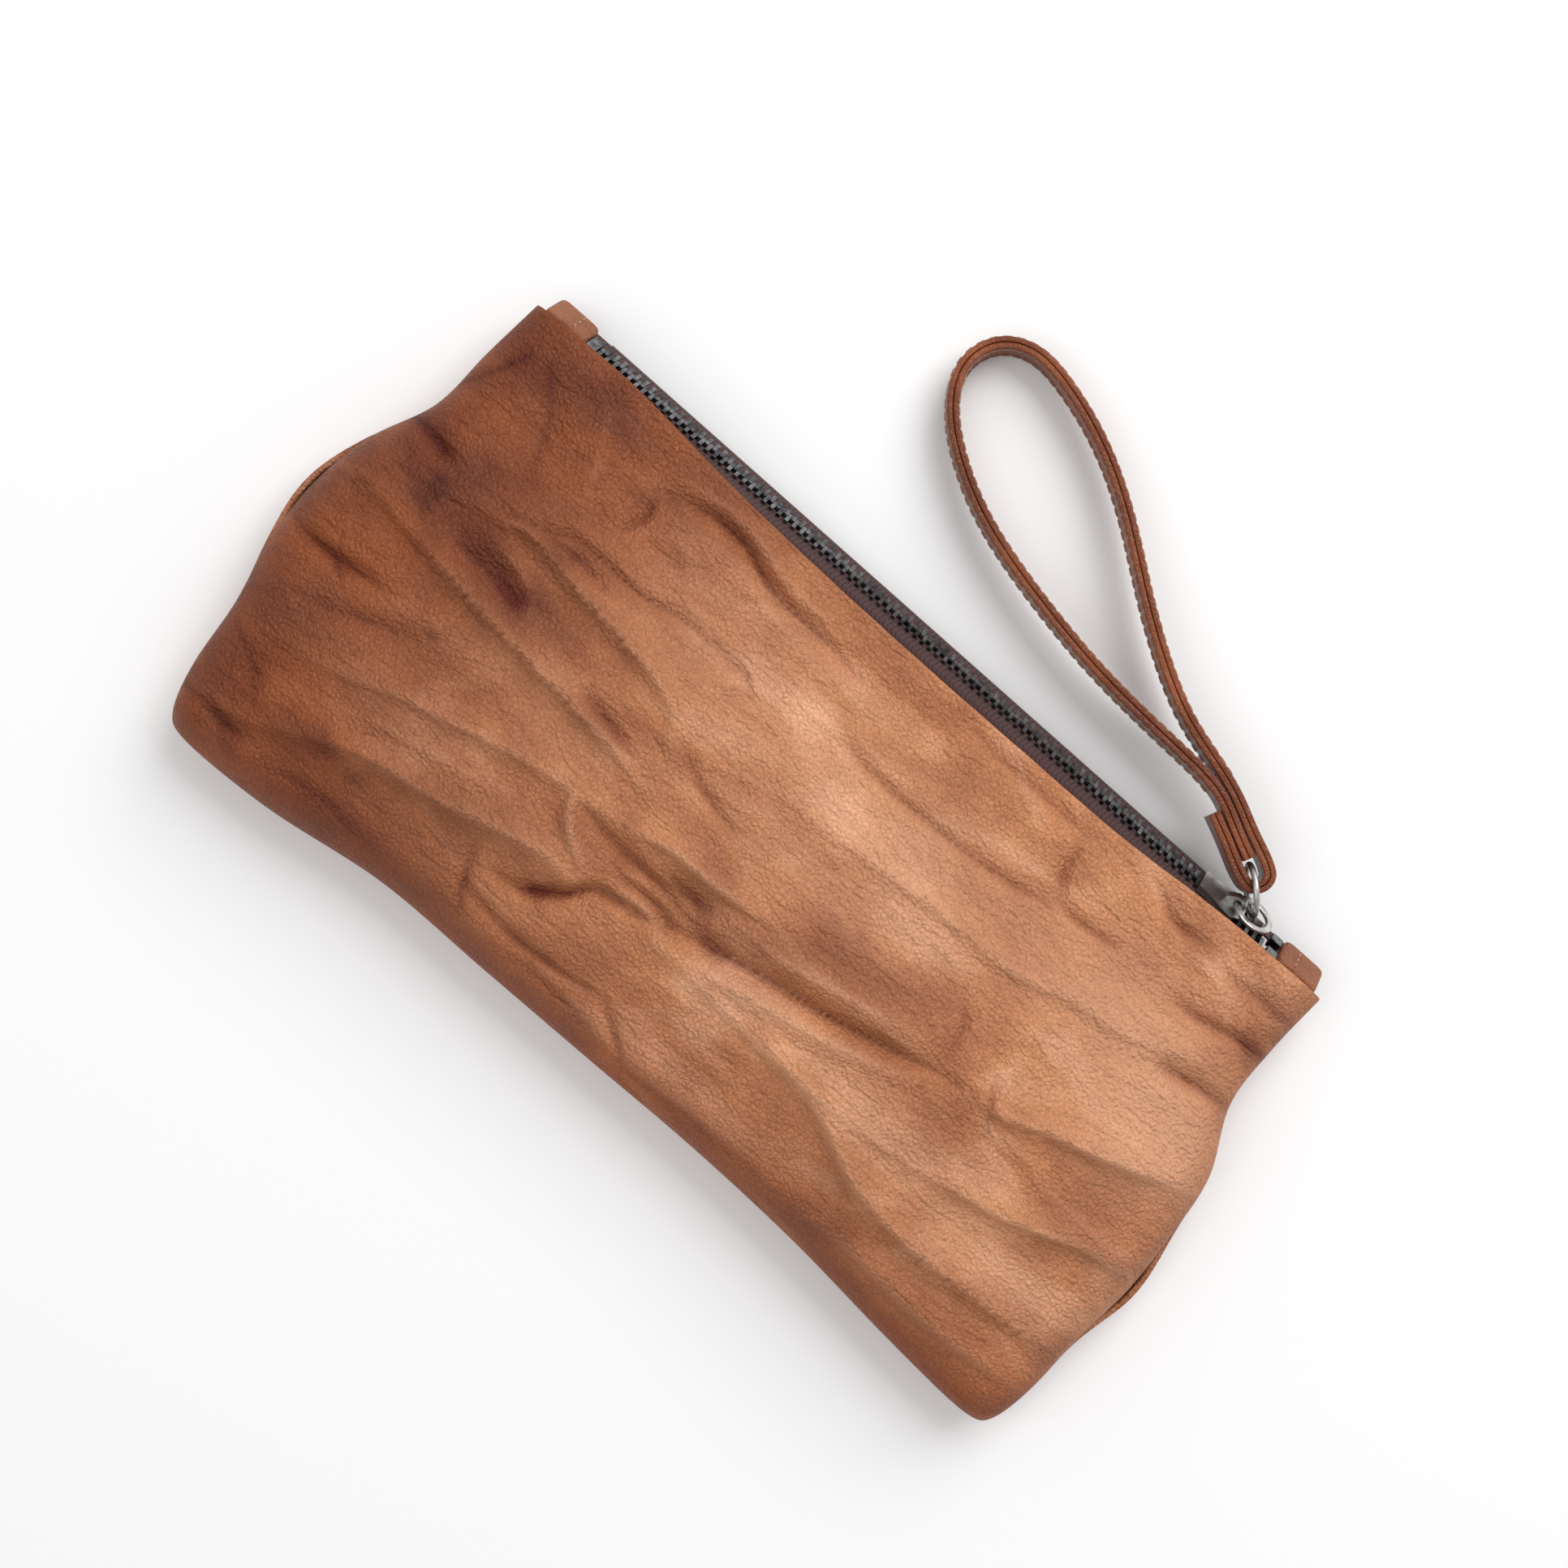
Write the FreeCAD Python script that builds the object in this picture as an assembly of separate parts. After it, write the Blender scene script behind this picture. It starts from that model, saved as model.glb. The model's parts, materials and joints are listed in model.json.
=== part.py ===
"""Soft leather zip pouch with a wrist strap, lying on its back panel.

Frame, in millimetres: +X runs along the zip towards the closed end, +Y points from the
pouch to its zip mouth, +Z is up. The origin is in the flat face that the pouch lies on,
under the middle of the zip.
"""
import FreeCAD, Part
import math
import os

V = FreeCAD.Vector

# Pouch
pouch_length = 250.8        # along the mouth, between the side seams
pouch_depth = 134.0         # from the bottom seam line to the mouth line
mouth_y = 66.0              # mouth line
seam_z = 9.6                # height of the sewn rim over the rest face
rim_gap = 0.1               # between the two sewn rims
edge_roll = 10.0            # width of the rounded edge beside the rim
corner_round = 2.2          # how far the bottom corners are drawn in
corner_reach = 5.0          # along the edges, from a corner
edge_height = 9.5           # rise of the front beside its rounded edge
crown_height = 9.0          # further rise in the middle of the front
mouth_rise = 9.5            # rise of the front at its mouth edge, over the rim
leather = 1.3               # leather thickness
hem = 2.2                   # folded thickness at the mouth edges
seam_band = 6.0             # flat seam allowance inside the rim
rest_cut = 0.3              # how far the back is pressed flat

# Edges of the pouch, as distances out from its straight outline, at even steps.
left_bulge = [1.3, 4.9, 6.9, 10.8, 11.9, 9.2, 2.4, 1.4, 0.0]     # bottom to mouth
right_bulge = [8.6, 10.2, 10.5, 11.8, 10.8, 8.4, 0.6, -0.6, 0.0]  # bottom to mouth
bottom_bulge = [0.5, -1.4, -6.3, -6.9, -7.5, -8.2, -7.5, -5.0, -3.0]
mouth_bow = [0.5, 0.9, -1.4, -2.6, -3.0, -2.8, -2.4, -0.2, 0.5]
back_mouth_inset = 0.6      # back mouth edge inside the mouth line

# Zip
chain_y = 68.0              # chain centre line
chain_tilt = 54.0           # degrees from lying flat, facing out of the mouth
tape_thick = 0.6
tape_edge = 1.0             # from the chain centre to the edge of each tape
tape_flat = 5.6             # from the chain centre to the bend of each tape
tape_bend = 1.8             # radius of that bend, at mid-thickness
tape_hem = 9.0              # length of tape sewn under each hem
tape_clear = 0.1            # between a tape and its hem
hem_short = 4.0             # from the end of a tape's sewn part to the chain's end
tape_short = 1.5            # from a tape's end to the end of its tab
zip_margin = 14.9           # from each side seam, at the mouth, to the end of the chain
tooth_pitch = 2.3
tooth_width = 1.0           # along the chain
tooth_reach = 2.9           # from the chain centre to the outer end of a tooth
tooth_mesh = 0.7            # how far a tooth passes the chain centre
tooth_half = 1.3            # half its thickness
tooth_slot = 0.05           # between a tooth and its tape
stop_length = 3.2
stop_clear = 0.3            # between a stop and the chain's end
stop_wrap = 0.8             # how far a top stop passes its tape's edge

# Slider
slider_from_end = 18.9      # from the chain's end to the slider's middle, with the zip closed
slider_length = 13.0
slider_wall = 0.7
slider_clear = 0.3          # between the teeth and the slider
slider_flange = 0.6
diamond_half = 0.6          # half width of the wedge that parts the teeth
diamond_from = 2.0          # from the slider's middle to the wedge's point
diamond_full = 4.0          # from the slider's middle to the wedge's full width
diamond_clear = 0.15        # between the wedge and the teeth
part_in = 2.0               # from the slider's ends to where its sides bend the rows
flare_from = -3.6           # start and end of the widening, from the slider's middle
flare_to = 2.2
slider_bevel = 2.8          # at the corners of the wide end
crown_width = 2.0
tunnel_x = 3.4              # from the slider's middle to the tunnel in its crown
crown_back = 3.2            # crown, behind its tunnel
crown_front = 2.1           # crown, ahead of its tunnel
crown_roof = 0.6
crown_bevel = 0.9           # at the front of the roof
crown_slope = 2.2           # length of the sloping back
crown_heel = 1.4            # height of the back, under its slope
tunnel_rise = 0.3           # from the wing to the tunnel
puller_outer = 11.0
puller_hole = 7.8
puller_thick = 1.0
puller_clear = 0.15
puller_edge = 0.35          # rounding of its edges
puller_angle = 1.0          # lift of the puller from lying along the chain

# Ring and strap
ring_wire = 1.5
ring_outer = 13.6
ring_heading = -44.0        # degrees from +X, from the strap to the puller
layer = 1.5                 # thickness of each of the two strap layers
strap_width = 9.0
strap_gap = 0.3             # between two runs of strap that lie together
strap_heading = 155.0       # degrees from +X, from the ring to the loop
fold_hole = 3.1             # clear width of the fold round the ring
fold_clear = 0.7            # between the ring and the fold
together = 16.0             # length of the runs that lie together
tail_length = 17.0          # length of the tail behind the fold
floor_clear = 0.2           # under the far end of the loop
run_in = 3.0                # straight run before the far side joins the near side

# Plan of the strap loop, from the slider's middle, from the near run round to the far run.
loop_points = [
    (-29.6, 20.6), (-44.2, 21.2), (-59.6, 22.4), (-74.1, 24.6), (-88.6, 27.6), (-104.8, 32.6),
    (-117.5, 39.3), (-127.0, 47.5), (-131.3, 57.5), (-128.2, 66.0), (-121.2, 69.9), (-109.9, 69.2),
    (-96.9, 65.2), (-86.0, 60.0), (-74.8, 52.9), (-63.4, 44.6), (-47.6, 34.2), (-33.6, 27.4),
]

# Stitches
thread = 0.5
strap_stitch = 2.0
strap_pitch = 3.0
strap_margin = 1.4          # from the stitches to the strap's edges
stitch_start = 4.0          # from where the runs part to the first stitch
stitch_clear = 0.06         # between a stitch and the strap's face
tab_stitch = 1.6
tab_pitch = 2.3
tab_length = 12.0
tab_leather = 1.2
tab_half = 4.9              # half width of an end tab, across the chain
tab_stitch_in = 4.5         # from the tab's inner end to its stitches
tab_clear = 0.25            # between a tab and the panels
tab_gap = 0.1               # between a tab and the teeth's faces
tab_edge = 0.6              # from the stitches to a tab's edges

zip_length = pouch_length - 2 * zip_margin
end_x = zip_length / 2
slider_x = end_x - slider_from_end
alpha = math.radians(chain_tilt)
chain_z = (hem + tape_clear + tape_thick / 2 + tape_bend * (1 + math.cos(alpha))
           + tape_flat * math.sin(alpha))
chain = V(0, chain_y, chain_z)
across = V(0, math.cos(alpha), -math.sin(alpha))   # from the front tape to the back tape
outward = V(0, math.sin(alpha), math.cos(alpha))   # out of the mouth


def along(values, f):
    """Smooth value at the fraction f of an evenly spaced list (Catmull-Rom)."""
    last = len(values) - 1
    i = min(int(f * last), last - 1)
    t = f * last - i
    b, c = values[i], values[i + 1]
    a = values[i - 1] if i > 0 else 2 * b - c
    d = values[i + 2] if i + 2 <= last else 2 * c - b
    return 0.5 * (2 * b + (c - a) * t + (2 * a - 5 * b + 4 * c - d) * t * t
                  + (3 * b - a - 3 * c + d) * t ** 3)


def plan_point(s, v, inset, bow):
    """Plan position: s runs 0..1 along the zip, v runs 0..1 from the bottom to the mouth."""
    left = -pouch_length / 2 - along(left_bulge, v) + inset
    right = pouch_length / 2 + along(right_bulge, v) - inset
    bottom = mouth_y - pouch_depth - along(bottom_bulge, s) + inset
    mouth = mouth_y + (along(mouth_bow, s) if bow else -back_mouth_inset)
    draw_left = corner_round * math.exp(-(s * pouch_length + v * pouch_depth) / corner_reach)
    draw_right = corner_round * math.exp(-((1 - s) * pouch_length + v * pouch_depth) / corner_reach)
    x = left + (right - left) * s + draw_left - draw_right
    return x, bottom + (mouth - bottom) * v + draw_left + draw_right


def steps(length, count, both_ends):
    """Distances along a run of the given length, close together at the rolled ends."""
    start = [edge_roll * (1 - math.cos(math.radians(k * 18))) for k in range(6)]
    stop = length - edge_roll if both_ends else length
    middle = [edge_roll + (stop - edge_roll) * k / count for k in range(1, count)]
    end = [length - d for d in reversed(start)] if both_ends else [length]
    return start + middle + end


def roll(d):
    """Height fraction of the quarter-round edge at the distance d from the rim."""
    if d >= edge_roll:
        return 1.0
    return math.sqrt(max(0.0, 1 - (1 - d / edge_roll) ** 2))


def swell(s, v):
    """Rise of the front over its rim, before the rounded edges."""
    dome = edge_height + crown_height * (1 - (2 * s - 1) ** 4) * math.sin(math.pi * v) ** 0.8
    near_mouth = v ** 4
    return dome * (1 - near_mouth) + mouth_rise * near_mouth


def skin(inset, bow, height):
    """Surface through a grid of points; height(s, v, fraction) gives z."""
    length = pouch_length - 2 * inset
    depth = pouch_depth - inset
    rows = []
    for a in steps(length, 12, True):
        row = []
        for b in steps(depth, 9, False):
            s, v = a / length, b / depth
            x, y = plan_point(s, v, inset, bow)
            lift = roll(a) * roll(length - a) * roll(b)
            row.append(V(x, y, height(s, v, lift)))
        rows.append(row)
    surface = Part.BSplineSurface()
    surface.interpolate(rows)
    return surface


def closed_between(first, second):
    """Solid between two surfaces, closed by ruled walls along their four edges."""
    u0, u1, v0, v1 = first.bounds()
    faces = [first.toShape(), second.toShape()]
    for pick in (lambda g: g.uIso(u0), lambda g: g.uIso(u1), lambda g: g.vIso(v0), lambda g: g.vIso(v1)):
        faces.append(Part.makeRuledSurface(pick(first).toShape(), pick(second).toShape()))
    shell = Part.makeShell(faces)
    shell.sewShape()
    solid = Part.makeSolid(shell)
    if solid.Volume < 0:
        solid.reverse()
    return solid


def prism(points, low, high):
    """Solid over a flat outline of (first, second) pairs, from low to high along the third axis."""
    wire = Part.makePolygon([V(a, b, low) for a, b in points] + [V(points[0][0], points[0][1], low)])
    return Part.Face(wire).extrude(V(0, 0, high - low))


def on_chain(shape, x=0.0):
    """Place a shape drawn as (along the zip, across the tapes, outward) on the chain line."""
    placed = shape.copy()
    placed.Placement = FreeCAD.Placement(chain + V(x, 0, 0), FreeCAD.Rotation(V(1, 0, 0), -chain_tilt)
                                         ).multiply(placed.Placement)
    return placed


def box(x0, x1, s0, s1, n0, n1):
    return Part.makeBox(x1 - x0, s1 - s0, n1 - n0, V(x0, s0, n0))


def half_thread(length, foot, way, out):
    """Half-round stitch lying on a face: from foot along way, bulging towards out."""
    half = Part.Face(Part.Wire([
        Part.Arc(V(-thread / 2, 0, 0), V(0, thread / 2, 0), V(thread / 2, 0, 0)).toShape(),
        Part.makeLine(V(thread / 2, 0, 0), V(-thread / 2, 0, 0))])).extrude(V(0, 0, length))
    half.Placement = FreeCAD.Placement(foot, FreeCAD.Rotation(out.cross(way), out, way, "ZYX"))
    return half


# Leather panels

front_rim = seam_z + rim_gap / 2
back_rim = seam_z - rim_gap / 2
front_outer = skin(0, True, lambda s, v, lift: front_rim + lift * swell(s, v))
front_inner = skin(seam_band, True, lambda s, v, lift: front_rim + lift * (
    swell(s, v) - leather - (hem - leather) * v ** 12))
front_panel = closed_between(front_outer, front_inner)

back_outer = skin(0, False, lambda s, v, lift: back_rim - lift * (back_rim + rest_cut))
back_inner = skin(seam_band, False, lambda s, v, lift: back_rim - lift * (
    back_rim - leather - (hem - leather) * v ** 12))
back_panel = closed_between(back_outer, back_inner)
floor_box = Part.makeBox(2 * pouch_length, 2 * pouch_depth, 10, V(-pouch_length, -pouch_depth, -10))
back_panel = back_panel.cut(floor_box)

# Zip tapes: a flat strip beside the chain and a bent strip sewn under the hem

hem_end = end_x - hem_short
part_from = slider_x - slider_length / 2
parting = tooth_mesh + diamond_half + diamond_clear   # how far each row stands aside ahead of the slider


def aside(x):
    """Distance by which the slider holds a row of teeth from the chain line at x."""
    f = (x - part_from - part_in) / (slider_length - 2 * part_in)
    f = min(1.0, max(0.0, f))
    return parting * f * f * (3 - 2 * f)


def tape(side):
    """One zip tape; side is -1 for the front tape, +1 for the back tape."""
    tape_end = end_x + tab_length - tape_short
    parted = [part_from + k for k in range(int(end_x - part_from) + 1)]
    xs = [-tape_end] + parted + [tape_end]
    edge = [(x, side * (tape_edge + aside(x + tooth_width))) for x in xs]
    outline = edge + [(xs[-1], side * tape_flat), (xs[0], side * tape_flat)]
    strip = on_chain(prism(outline, -tape_thick / 2, tape_thick / 2))
    turn = math.pi - alpha if side > 0 else alpha
    start = chain + across * (side * tape_flat)
    heading = math.atan2(side * across.z, side * across.y)
    spin = -1 if side > 0 else 1
    path = []
    y, z = start.y, start.z
    centre = (y - spin * math.sin(heading) * tape_bend, z + spin * math.cos(heading) * tape_bend)
    for k in range(9):
        h = heading + spin * turn * k / 8
        path.append((centre[0] + spin * math.sin(h) * tape_bend,
                     centre[1] - spin * math.cos(h) * tape_bend, h))
    path.append((path[-1][0] - tape_hem, path[-1][1], path[-1][2]))
    half = tape_thick / 2
    one = [V(-hem_end, y - math.sin(h) * half, z + math.cos(h) * half) for y, z, h in path]
    two = [V(-hem_end, y + math.sin(h) * half, z - math.cos(h) * half) for y, z, h in path]
    ring = one + two[::-1]
    bent = Part.Face(Part.makePolygon(ring + [ring[0]])).extrude(V(2 * hem_end, 0, 0))
    return strip.fuse(bent).removeSplitter()


front_tape = tape(-1)
back_tape = tape(1)

# Teeth: each straddles the edge of its tape


def tooth(side):
    slot = tape_thick / 2 + tooth_slot
    body = tape_edge - tooth_slot
    outline = [(tooth_mesh, -tooth_half), (tooth_mesh, tooth_half), (-tooth_reach, tooth_half),
               (-tooth_reach, slot), (-body, slot), (-body, -slot), (-tooth_reach, -slot),
               (-tooth_reach, -tooth_half)]
    wire = [V(-tooth_width / 2, -side * a, n) for a, n in outline]
    return Part.Face(Part.makePolygon(wire + [wire[0]])).extrude(V(tooth_width, 0, 0))


def teeth(side):
    count = int((zip_length - 2 * stop_length) / tooth_pitch)
    first = -end_x + stop_length + tooth_width + (tooth_pitch / 2 if side > 0 else 0)
    made = []
    for k in range(count):
        x = first + k * tooth_pitch
        if x < end_x - stop_length - tooth_width:
            piece = tooth(side)
            piece.translate(V(x, side * aside(x), 0))
            made.append(on_chain(piece))
    return Part.makeCompound(made)


front_teeth = teeth(-1)
back_teeth = teeth(1)


def clasp(x0, x1, s0, s1, cuts):
    """Metal stop over the tape edges, with slots for the tapes."""
    block = box(x0, x1, s0, s1, -tooth_half, tooth_half)
    slot = tape_thick / 2 + tooth_slot
    for a, b in cuts:
        block = block.cut(box(x0 - 1, x1 + 1, a, b, -slot, slot))
    return on_chain(block)


inner = tape_edge - tooth_slot
far = parting + inner
bottom_stop = clasp(-end_x + stop_clear, -end_x + stop_length, -tooth_reach, tooth_reach,
                    [(-tooth_reach - 1, -inner), (inner, tooth_reach + 1)])
stop_x = end_x - stop_length
row_reach = parting + tooth_reach
top_stops = Part.makeCompound([
    clasp(stop_x, end_x - stop_clear, far - stop_wrap, row_reach, [(far, row_reach + 1)]),
    clasp(stop_x, end_x - stop_clear, -row_reach, stop_wrap - far, [(-row_reach - 1, -far)]),
])

# Folded leather end tabs over the zip ends


def end_tab(side):
    """Strip folded over the end of the zip; side is -1 at the left, +1 at the right."""
    near = tooth_half + tab_gap
    x0, x1 = sorted((side * end_x, side * (end_x + tab_length)))
    block = box(x0, x1, -tab_half, tab_half, -near - tab_leather, near + tab_leather)
    a, b = (x0 - 1, x1 - tab_leather) if side > 0 else (x0 + tab_leather, x1 + 1)
    return on_chain(block.cut(box(a, b, -tab_half - 1, tab_half + 1, -near, near)))


def tab_stitches(side):
    top = tooth_half + tab_gap + tab_leather
    x = side * (end_x + tab_stitch_in)
    count = int(2 * (tab_half - tab_edge) / tab_pitch)
    made = []
    for k in range(count):
        s = (k - (count - 1) / 2) * tab_pitch - tab_stitch / 2
        made.append(on_chain(half_thread(tab_stitch, V(x, s, top), V(0, 1, 0), V(0, 0, 1))))
    return Part.makeCompound(made)


left_end_tab = end_tab(-1)
right_end_tab = end_tab(1)
left_tab_stitches = tab_stitches(-1)
right_tab_stitches = tab_stitches(1)
for side in (-1, 1):
    x0, x1 = sorted((side * (end_x - tab_clear), side * (end_x + tab_length + tab_clear)))
    reach = tooth_half + tab_gap + tab_leather + tab_clear
    half_room = max(tab_half, tape_flat) + tab_clear
    room = box(x0, x1, -half_room, half_room, -reach, reach + thread)
    front_panel = front_panel.cut(on_chain(room))
    back_panel = back_panel.cut(on_chain(room))

# Slider: two wings joined by the wedge that parts the teeth, with flanges at their edges

half_length = slider_length / 2
gap_n = tooth_half + slider_clear
slot_n = tape_thick / 2 + slider_clear
narrow = tooth_reach + slider_clear
wide = tooth_reach + parting + slider_clear
side_n = wide + slider_flange
end_n = narrow + slider_flange
wing_plan = [(-half_length, -end_n), (flare_from, -end_n), (flare_to, -side_n),
             (half_length - slider_bevel, -side_n), (half_length, slider_bevel - side_n),
             (half_length, side_n - slider_bevel), (half_length - slider_bevel, side_n),
             (flare_to, side_n), (flare_from, end_n), (-half_length, end_n)]
channel = [(-half_length - 1, -narrow), (flare_from, -narrow), (flare_to, -wide), (half_length + 1, -wide),
           (half_length + 1, wide), (flare_to, wide), (flare_from, narrow), (-half_length - 1, narrow)]
diamond = [(diamond_from, 0.0), (diamond_full, -diamond_half), (half_length, -diamond_half),
           (half_length, diamond_half), (diamond_full, diamond_half)]
slider = prism(wing_plan, -gap_n - slider_wall, gap_n + slider_wall)
slider = slider.cut(prism(channel, -gap_n, gap_n))
slider = slider.cut(box(-half_length - 1, half_length + 1, -side_n - 1, side_n + 1, -slot_n, slot_n))
slider = slider.fuse(prism(diamond, -gap_n, gap_n)).removeSplitter()
slider_body = on_chain(slider, slider_x)

# Crown over the slider, with the tunnel that the puller turns in

rim_width = (puller_outer - puller_hole) / 2
tunnel = math.hypot(rim_width, puller_thick) / 2 + puller_clear
wing_top = gap_n + slider_wall
tunnel_n = wing_top + tunnel_rise + tunnel
crown_top = tunnel_n + tunnel + crown_roof
arch = [(-crown_back, wing_top), (crown_front, wing_top), (crown_front, crown_top - crown_bevel),
        (crown_front - crown_bevel, crown_top), (crown_slope - crown_back, crown_top),
        (-crown_back, wing_top + crown_heel)]
wire = [V(a, -crown_width / 2, n) for a, n in arch]
crown = Part.Face(Part.makePolygon(wire + [wire[0]])).extrude(V(0, crown_width, 0))
bore = Part.makeCylinder(tunnel, crown_width + 2, V(0, -crown_width / 2 - 1, tunnel_n), V(0, 1, 0))
crown = crown.cut(bore)
slider_crown = on_chain(crown, slider_x + tunnel_x)

# Puller: a flat ring whose near side lies in the tunnel

lift = math.radians(puller_angle)
centre_r = (puller_outer + puller_hole) / 4
hinge = chain + V(slider_x + tunnel_x, 0, 0) + outward * tunnel_n
reach_dir = V(math.cos(lift), 0, 0) + outward * math.sin(lift)
face_dir = V(-math.sin(lift), 0, 0) + outward * math.cos(lift)
puller_centre = hinge + reach_dir * centre_r
base = puller_centre - face_dir * (puller_thick / 2)
pull_tab = Part.makeCylinder(puller_outer / 2, puller_thick, base, face_dir).cut(
    Part.makeCylinder(puller_hole / 2, puller_thick + 2, base - face_dir, face_dir))
pull_tab = pull_tab.makeFillet(puller_edge, pull_tab.Edges)

# Round wire ring, upright, through the puller and the fold of the strap

ring_r = (ring_outer - ring_wire) / 2
ring_dir = V(math.cos(math.radians(ring_heading)), math.sin(math.radians(ring_heading)), 0)
ring_side = V(-ring_dir.y, ring_dir.x, 0)
ring_centre = puller_centre - ring_dir * ring_r
pull_ring = Part.makeTorus(ring_r, ring_wire / 2, ring_centre, ring_side)
ring_far = ring_centre - ring_dir * ring_r

# Strap: two layers along one line, from the cut end between the runs, round the loop,
# back beside itself, round the ring and on as a tail

run = V(math.cos(math.radians(strap_heading)), math.sin(math.radians(strap_heading)), 0)
side_dir = V(-run.y, run.x, 0) * -1
spacing = 2 * layer + strap_gap
inner_fold = fold_hole / 2
chord = math.sqrt((ring_r - ring_wire / 2) ** 2 - (strap_width / 2) ** 2)
seat = ring_r - chord + fold_clear - inner_fold
fold_r = max(spacing, inner_fold + layer)
fold_centre = V(ring_far.x, ring_far.y, 0) - run * seat
cut_end = fold_centre + run * (seat + ring_wire / 2 + fold_clear)

line = [cut_end + run * (together * k / 2) for k in range(3)]
line += [V(slider_x + x, chain_y + y, 0) for x, y in loop_points]
line += [fold_centre + side_dir * fold_r + run * d for d in (together + run_in, together / 2, 0.0)]
for k in range(1, 6):
    turn = math.radians(30 * k)
    line.append(fold_centre + side_dir * (fold_r * math.cos(turn)) - run * (fold_r * math.sin(turn)))
line += [fold_centre - side_dir * fold_r + run * d for d in (0.0, tail_length / 2, tail_length)]
spine = Part.BSplineCurve()
spine.interpolate(line)
spine_steps = 320
span = spine.length()
places = [spine.parameterAtDistance(span * k / spine_steps) for k in range(spine_steps + 1)]


def beside(distance):
    """Curve at a steady distance to the side of the strap's line."""
    points = []
    for p in places:
        at, way = spine.value(p), spine.tangent(p)[0]
        points.append(at + V(-way.y, way.x, 0) * distance)
    curve = Part.BSplineCurve()
    curve.interpolate(points)
    return curve


strap_low = ring_centre.z - strap_width / 2


def strap_layer(near, off):
    """Upright band between two curves beside the strap's line."""
    one, two = beside(near), beside(off)
    edges = [one.toShape(), Part.makeLine(one.EndPoint, two.EndPoint), two.toShape(),
             Part.makeLine(two.StartPoint, one.StartPoint)]
    face = Part.Face(Part.Wire(Part.__sortEdges__(edges)))
    band = face.extrude(V(0, 0, strap_width))
    band.translate(V(0, 0, strap_low))
    return band


far_point = max(line, key=lambda p: (p - ring_far).dot(run))
reach = math.hypot(far_point.x - ring_far.x, far_point.y - ring_far.y)
droop = math.degrees(math.asin((strap_low - floor_clear) / reach))
fall_dir = V(far_point.x - ring_far.x, far_point.y - ring_far.y, 0).normalize()
fall_axis = V(-fall_dir.y, fall_dir.x, 0)


def lowered(shape):
    """Lower the far end of the strap to the floor, about the ring."""
    shape.rotate(ring_far, fall_axis, droop)
    return shape


strap_outer_layer = lowered(strap_layer(0.0, layer))
strap_inner_layer = lowered(strap_layer(-layer, 0.0))


def strap_stitches():
    """Two rows of stitches on each free face of the strap, round the loop."""
    start = together + stitch_start
    stop = span - tail_length - math.pi * fold_r - together - stitch_start
    count = int((stop - start) / strap_pitch)
    made = []
    for k in range(count):
        p = spine.parameterAtDistance(start + k * strap_pitch)
        at, way = spine.value(p), spine.tangent(p)[0]
        normal = V(-way.y, way.x, 0)
        for face in (-1, 1):
            for row in (strap_margin, strap_width - strap_margin):
                foot = at + normal * (face * (layer + stitch_clear)) + V(0, 0, strap_low + row)
                made.append(half_thread(strap_stitch, foot - way * (strap_stitch / 2), way, normal * face))
    return lowered(Part.makeCompound(made))


pieces = {
    "front_panel": front_panel,
    "back_panel": back_panel,
    "front_tape": front_tape,
    "back_tape": back_tape,
    "front_teeth": front_teeth,
    "back_teeth": back_teeth,
    "bottom_stop": bottom_stop,
    "top_stops": top_stops,
    "left_end_tab": left_end_tab,
    "right_end_tab": right_end_tab,
    "left_tab_stitches": left_tab_stitches,
    "right_tab_stitches": right_tab_stitches,
    "slider_body": slider_body,
    "slider_crown": slider_crown,
    "pull_tab": pull_tab,
    "pull_ring": pull_ring,
    "strap_outer_layer": strap_outer_layer,
    "strap_inner_layer": strap_inner_layer,
    "strap_stitches": strap_stitches(),
}

os.makedirs("parts", exist_ok=True)
for name, shape in pieces.items():
    b = shape.BoundBox
    print(f"{name}: solids {len(shape.Solids)} volume {shape.Volume:.1f} valid {shape.isValid()} "
          f"x {b.XMin:.1f}..{b.XMax:.1f} y {b.YMin:.1f}..{b.YMax:.1f} z {b.ZMin:.2f}..{b.ZMax:.2f}")
    shape.exportStep(f"parts/{name}.step")
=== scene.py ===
# %% [markdown]
# A soft leather zip pouch lies on its back, with a wrist strap on a wire ring. The packed
# model gives the frame: metal, tapes and stitches keep their solids, and the leather is drawn
# over its own.

# %% Load the frame
import bpy
import json
import math
import numpy as np
from mathutils import Matrix, Vector


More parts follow.
